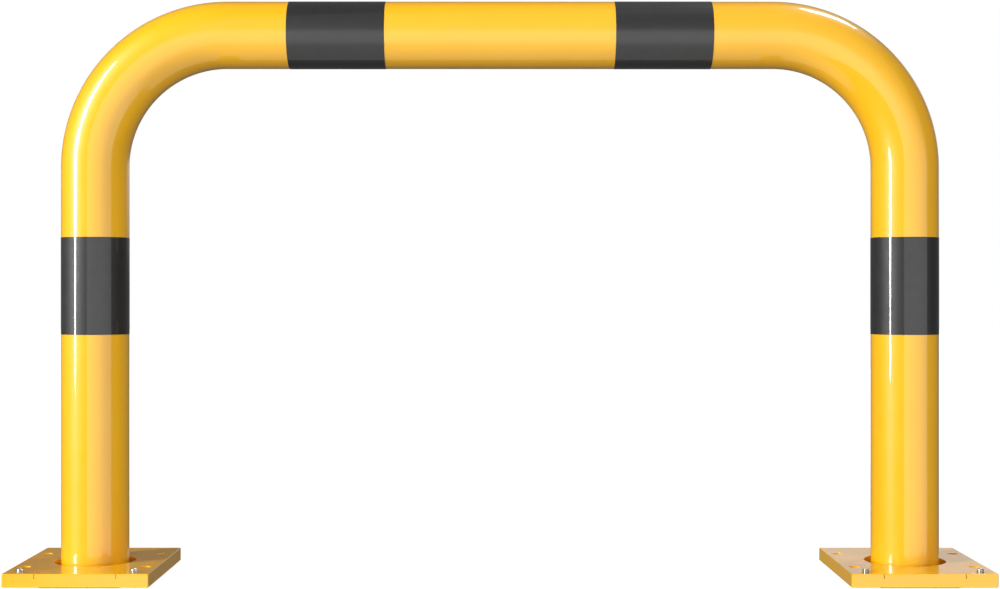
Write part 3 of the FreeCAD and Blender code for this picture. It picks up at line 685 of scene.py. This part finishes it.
def endDiscMesh():
    # a turned ring with a wide bevel on top, less a countersunk hole for each screw
    d, low, high = endDisc, bottomOf("left_end_disc"), topOf("left_end_disc")
    inner, outer = d["bore"] / 2, d["diameter"] / 2
    profile = rounded([(inner, low, 0.5), (outer, low, 0.4), (outer, high - d["bevel"], 0.3),
                       (outer - d["bevel"], high, 0.3), (inner, high, 0.5)], steps=3)
    disc = meshOf("endDisc", [lathe(profile, evenAngles(120))])
    cutter = countersunkCutter(6.0, discScrew["head"], 0.8, low, high)
    cutters = [shifted(cutter, x, y) for x, y in circlePlaces(discScrew["circle"])]
    return cutFrom(disc, meshOf("discCutters", cutters, closed=False))


def seatRingMesh():
    # a turned ring with bevelled edges, less a tapped hole for each screw
    s, low, high = seatRing, bottomOf("left_seat_ring"), topOf("left_seat_ring")
    profile = rounded([(s["bore"] / 2, low, s["bevel"]), (s["diameter"] / 2, low, 0.3),
                       (s["diameter"] / 2, high, s["bevel"]), (s["bore"] / 2, high, s["bevel"])], steps=3)
    ring = meshOf("seatRing", [lathe(profile, evenAngles(120))])
    cutter = holeCutter(s["tapped"] / 2, low, high, 0.4, 0.4, around=32)
    cutters = [shifted(cutter, x, y) for x, y in circlePlaces(discScrew["circle"])]
    return cutFrom(ring, meshOf("ringCutters", cutters, closed=False))


def ringWeldMesh():
    # a fillet bead in the corner of tube and ring: its face is an arc that swells and
    # sinks with every ripple round the joint
    w, top = ringWeld, topOf("left_ring_weld")
    wallRadius, leg = w["outer"] / 2, w["leg"]
    angles = evenAngles(w["around"])
    lean = w["lean"] * np.sin(angles * w["leans"])
    wave = w["ripple"] * np.abs(np.sin(angles * w["ripples"] / 2 + lean))
    share = np.linspace(0, 1, 9)[:, None]
    swell = np.sin(share * math.pi) * (w["crown"] + wave)
    radii = wallRadius - leg * (1 - share) - swell * w["tilt"] + 0 * angles
    heights = top - leg * share - swell * w["tilt"] + 0 * angles
    grid = np.stack([radii * np.cos(angles), radii * np.sin(angles), heights], -1)
    corner = np.stack([wallRadius * np.cos(angles), wallRadius * np.sin(angles), top + 0 * angles], -1)[None]
    return meshOf("ringWeld", [np.concatenate([grid, corner])])


def springBlockMesh():
    # the preloaded block: a turned body whose wall swells above the seat ring
    s, low, high = springBlock, bottomOf("left_spring_block"), topOf("left_spring_block")
    inner, outer, r = s["bore"] / 2, s["diameter"] / 2, s["rounding"]
    free = topOf("left_seat_ring")
    small, share = s["boreRounding"], np.linspace(0, 1, 17)
    swollen = outer + s["bulge"] * np.sin(share * math.pi) ** 2
    wallLine = np.stack([swollen, free + share * (high - r - free)], -1)
    foot = rounded([(inner, high), (inner, low, small), (outer, low, r), (outer, free)], closed=False)[1:]
    head = rounded([(outer, free), (outer, high, r), (inner, high, small), (inner, low)], closed=False)[1:-1]
    return meshOf("springBlock", [lathe(np.vstack([foot, wallLine[1:], head[1:]]), evenAngles(96))])


def tieNutMesh():
    # rows of hexagons; near each face the radius is the lesser of the hexagon and a
    # shallow cone, which leaves the curved edges of a turned-down nut
    n, low, high = tieNut, bottomOf("left_tie_nut"), topOf("left_tie_nut")
    angles = evenAngles(144)
    hexed = hexagon(angles, n["flats"])
    corner = n["flats"] / 2 / math.cos(math.pi / 6)
    down = np.concatenate([np.linspace(0, n["coneDeep"], 9), [3.0]])
    flat = n["flats"] / 2 * n["coneFrom"]
    cone = flat + down[:, None] / math.tan(math.radians(n["cone"]))
    rows = np.minimum(hexed[None], np.minimum(cone, corner + 1))
    bore, bevel = n["bore"] / 2, n["boreBevel"]
    inner = np.array([bore + bevel, bore, bore, bore + bevel])[:, None] + 0 * angles
    radii = np.vstack([rows, rows[::-1], inner])
    heights = np.concatenate([low + down, (high - down)[::-1], [high, high - bevel, low + bevel, low]])
    return meshOf("tieNut", [ringGrid(radii, heights, angles)])


sharedMeshes = {
    "BasePlate": (basePlateMesh(), coatYellow, "feet", "yellow_coating", "base_plate"),
    "KeeperPlate": (keeperPlateMesh(), coatYellow, "feet", "yellow_coating", "keeper_plate"),
    "LevellingScrews": (levellingScrewMesh(), zincBright, "feet", "zinc_steel", "levelling_screws"),
    "KeeperScrews": (countersunkScrew(
        "keeperScrews", keeperScrew, bottomOf("left_keeper_screws"),
        [(x * basePlate["tappedAt"][0], y * basePlate["tappedAt"][1]) for x, y in fourWays]),
        zincBright, "feet", "zinc_steel", "keeper_screws"),
    "TieBolt": (tieBoltMesh(), zincBright, "feet", "zinc_steel", "tie_bolt"),
    "TieNut": (tieNutMesh(), zincBright, "feet", "zinc_steel", "tie_nut"),
    "NutPlate": (nutPlateMesh(), turnedSteel, "feet", "plain_steel", "nut_plate"),
    "EndDisc": (endDiscMesh(), turnedSteel, "hoop", "plain_steel", "end_disc"),
    "SeatRing": (seatRingMesh(), turnedSteel, "hoop", "plain_steel", "seat_ring"),
    "RingWeld": (ringWeldMesh(), weldSteel, "hoop", "plain_steel", "ring_weld"),
    "DiscScrews": (countersunkScrew(
        "discScrews", discScrew, bottomOf("left_disc_screws"), circlePlaces(discScrew["circle"])),
        zincBright, "hoop", "zinc_steel", "disc_screws"),
    "SeatPad": (seatPadMesh(), castPolyurethane, None, "polyurethane", "seat_pad"),
    "SpringBlock": (springBlockMesh(), castPolyurethane, None, "polyurethane", "spring_block"),
}
bends = {  # for each soft piece, the height meant to stay with the feet and the one meant to go with the hoop; nothing reads them, and a piece named here only has its place baked into its mesh
    "SeatPad": (bottomOf("left_seat_pad"), topOf("left_seat_pad")),
    "SpringBlock": (topOf("left_spring_block"), bottomOf("left_spring_block")),
}
for side in ("left", "right"):
    footX = middleOf(side + "_seat_pad").x
    for name, (mesh, material, body, slot, node) in sharedMeshes.items():
        piece = place(side + name, mesh, material, body, slot, side + "_" + node, across=footX)
        if name in bends:
            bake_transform(piece)
    print(side, "foot:", len(sharedMeshes), "pieces")


# A pale seamless sheet under the object. The camera sees it lit evenly, and the gloss
# sees the room instead of it; away from the object it is as white as the room behind.
# Its lower side is clear, so that the feet can be seen from below.
sheet = {"half": 12.0, "clearance": 0.2, "near": 0.92, "far": 1.1, "growsFrom": 0.75, "growsTo": 1.6,
         "colours": ("#8A8A8A", "#8E8E8E"), "patches": 40.0, "mottle": 10.0, "roughness": (0.9, 0.95),
         "relief": 0.0, "deep": 0.0}
half = sheet["half"]
floorMesh = bpy.data.meshes.new("studioFloor")
level = -sheet["clearance"] * mm
floorMesh.from_pydata([(x * half, y * half, level) for x, y in fourWays], [], [(0, 1, 2, 3)])
floor = bpy.data.objects.new("studioFloor", floorMesh)
bpy.context.scene.collection.objects.link(floor)
floor.visible_diffuse = floor.visible_glossy = False
paper, tree, spot = newMaterial("paperSheet", sheet, Specular_IOR_Level=0.0)[:3]
reach = addNode(tree, "VectorMath", {0: spot}, "Value", operation="LENGTH")
strength = addNode(tree, "MapRange", {0: reach, 1: sheet["growsFrom"], 2: sheet["growsTo"],
                                      3: sheet["near"], 4: sheet["far"]})
white = linear("#FFFFFF")
glow = addNode(tree, "Emission", {"Color": white, "Strength": strength})
lit = addNode(tree, "AddShader", {0: glow, 1: tree.nodes["Principled BSDF"].outputs[0]})
fromBelow = addNode(tree, "NewGeometry", {}, "Backfacing")
clear = addNode(tree, "BsdfTransparent", {"Color": white})
oneSided = addNode(tree, "MixShader", {0: fromBelow, 1: lit, 2: clear})
tree.links.new(oneSided, tree.nodes["Material Output"].inputs["Surface"])
floorMesh.materials.append(paper)

# The room: white where the camera looks past the object, nearly dark elsewhere, with
# three pale walls. A wall is a product of soft steps, each in the azimuth in degrees
# from the front, the height or the frontness of a direction: (what, from, to, before,
# after).
room = {"shown": 1.0, "dark": 0.12}
walls = {
    "front": [("azimuth", -17.5, -12.5, 0, 1), ("azimuth", 64.5, 69.5, 1, 0),
              ("height", -0.02, 0.36, 1.3, 0.25), ("height", -0.75, -0.4, 0.5, 1)],
    "below": [("height", -0.8, -0.7, 0.65, 0), ("frontness", -0.24, -0.14, 0, 1)],
    "corner": [("azimuth", 141, 149, 0, 1), ("azimuth", 171, 179, 1, 0), ("height", 0, 0.07, 0, 0.5),
               ("height", 0.31, 0.38, 1, 0)],
}
world = bpy.data.worlds.new("studioRoom")
bpy.context.scene.world = world
world.use_nodes = True
tree = world.node_tree
toward = addNode(tree, "VectorMath", {0: addNode(tree, "TexCoord", {}), 1: (1, -1, 1)}, operation="MULTIPLY")
right, frontness, height = addNode(tree, "SeparateXYZ", {0: toward}).node.outputs
azimuth = addNode(tree, "Math", {0: right, 1: frontness}, operation="ARCTAN2")
azimuth = addNode(tree, "Math", {0: azimuth}, operation="DEGREES")
read = {"azimuth": azimuth, "frontness": frontness, "height": height}
brightest = 0.0
for steps in walls.values():
    product = 1.0
    for what, start, end, before, after in steps:
        step = addNode(tree, "MapRange", {0: read[what], 1: start, 2: end, 3: before, 4: after},
                       interpolation_type="SMOOTHSTEP")
        product = addNode(tree, "Math", {0: product, 1: step}, operation="MULTIPLY")
    brightest = addNode(tree, "Math", {0: brightest, 1: product}, operation="MAXIMUM")
roomLight = addNode(tree, "Math", {0: brightest, 1: room["dark"]}, operation="ADD")
around = addNode(tree, "Background", {"Color": white, "Strength": roomLight})
shown = addNode(tree, "Background", {"Color": white, "Strength": room["shown"]})
seen = addNode(tree, "LightPath", {}, "Is Camera Ray")
both = addNode(tree, "MixShader", {0: seen, 1: around, 2: shown})
tree.links.new(both, tree.nodes["World Output"].inputs["Surface"])


aimHeight = 0.3   # metres: the height on the object that every panel faces


def panelLight(name, settings):
    # a panel of light at an azimuth, an elevation and a distance, facing the object
    data = bpy.data.lights.new(name, "AREA")
    data.shape = settings.get("shape", "RECTANGLE")
    data.size, data.size_y = settings["size"]
    area = data.size * data.size_y * (math.pi / 4 if data.shape == "ELLIPSE" else 1.0)
    data.energy = settings["brightness"] * math.pi * area
    panel = bpy.data.objects.new(name, data)
    turn, rise = math.radians(settings["azimuth"]), math.radians(settings["elevation"])
    out = Vector((math.sin(turn) * math.cos(rise), -math.cos(turn) * math.cos(rise), math.sin(rise)))
    panel.location = Vector((0, 0, aimHeight)) + out * settings["distance"]
    facing = Vector((out.x, out.y, 0)) if settings.get("upright") else out
    panel.rotation_euler = facing.to_track_quat("Z", "Y").to_euler()
    panel.visible_camera = False
    panel.visible_glossy = settings.get("mirrored", True)
    bpy.context.scene.collection.objects.link(panel)


keyStrip = {"azimuth": -60, "elevation": 18.3, "distance": 6.3, "size": (1.05, 4.8), "brightness": 43.0,
            "shape": "ELLIPSE", "upright": True}
topStrip = {"azimuth": 123, "elevation": 56.6, "distance": 5.0, "size": (0.8, 1.4), "brightness": 22.0}
frontFill = {"azimuth": 8, "elevation": 28.0, "distance": 5.0, "size": (4.0, 4.0), "brightness": 1.2,
             "mirrored": False}
backFill = {"azimuth": 175, "elevation": 8.0, "distance": 5.0, "size": (3.0, 3.0), "brightness": 1.3,
            "mirrored": False}
panelLight("keyStrip", keyStrip)
panelLight("topStrip", topStrip)
panelLight("frontFill", frontFill)
panelLight("backFill", backFill)

camera = {"lens": 61.42, "sensor": 36.0, "place": (0.0, -1.948, 0.3285), "shiftY": -0.0055}
cameraData = bpy.data.cameras.new("studioCamera")
cameraData.lens, cameraData.sensor_width = camera["lens"], camera["sensor"]
cameraData.shift_y = camera["shiftY"]
cameraObject = bpy.data.objects.new("studioCamera", cameraData)
cameraObject.location = camera["place"]
cameraObject.rotation_euler = (math.pi / 2, 0, 0)
bpy.context.scene.collection.objects.link(cameraObject)
bpy.context.scene.camera = cameraObject
bpy.context.scene.view_settings.view_transform = "Standard"
print("studio: floor, room, four lights and the camera")
